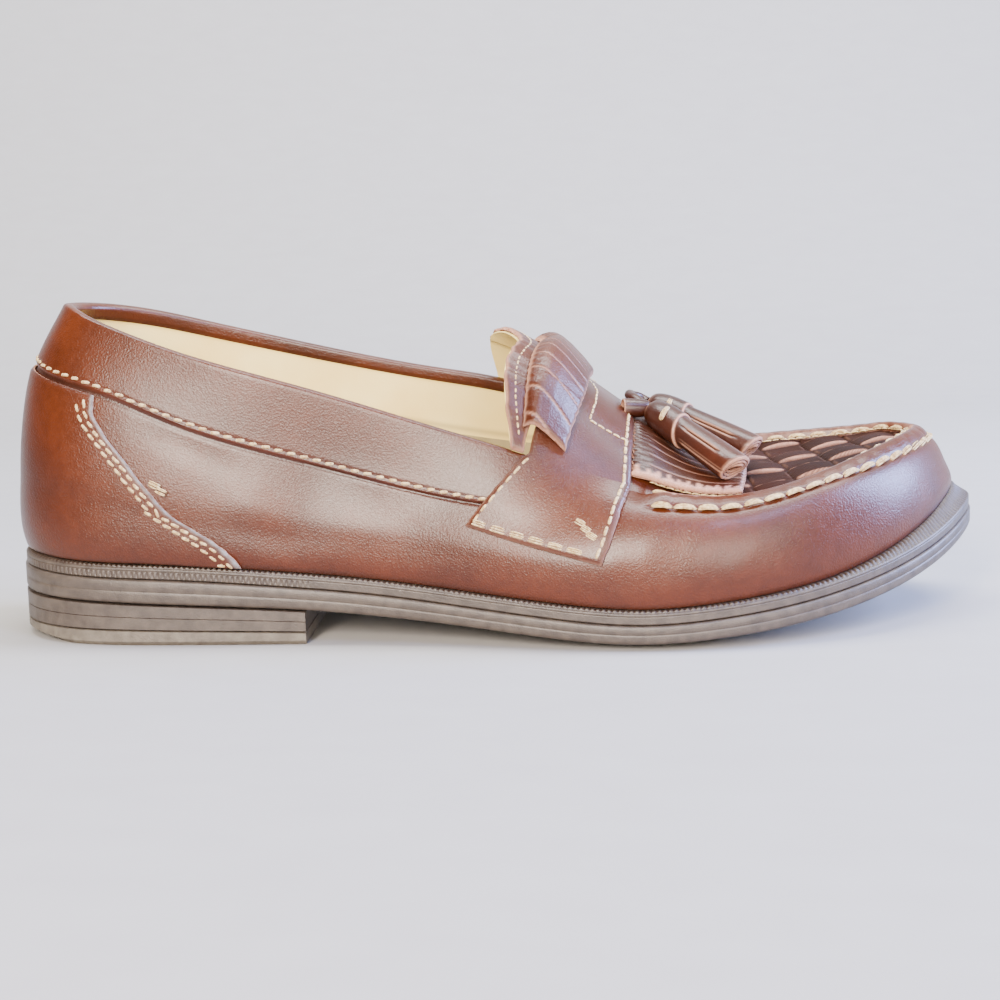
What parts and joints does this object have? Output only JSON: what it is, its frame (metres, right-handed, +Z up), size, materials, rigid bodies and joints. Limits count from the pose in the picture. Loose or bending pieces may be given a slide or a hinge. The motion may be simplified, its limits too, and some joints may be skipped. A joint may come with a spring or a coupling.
{
  "type": "woven tassel loafer",
  "caption": "Slip-on leather loafer for the right foot, with moccasin seam, woven plug, saddle, fringed flap and tassels over a low-heeled moulded sole",
  "frame": {"origin": "on the floor under the middle of the shoe's box", "axes": "+X from heel to toe, +Y towards the inner (medial) side, +Z up"},
  "size_m": [0.2691, 0.0959, 0.0916],
  "materials": {
    "sole_rubber": "moulded, dull",
    "top_lift_rubber": "worn, dull",
    "lining": "matt cream lining",
    "upper_leather": "polished chestnut calf",
    "tassel_leather": "polished, raw cut edges"
  },
  "bodies": {
    "root": {"outsole": "sole_rubber", "welt": "sole_rubber", "heel_block": "sole_rubber", "heel_top_lift": "top_lift_rubber", "insole": "lining", "upper": "upper_leather", "heel_counter": "upper_leather", "saddle": "upper_leather", "tongue": "upper_leather", "strap": "upper_leather", "fringe_flap": "upper_leather", "tassel_lateral": "tassel_leather", "tassel_medial": "tassel_leather", "tassel_lace": "tassel_leather"}
  },
  "joints": []
}
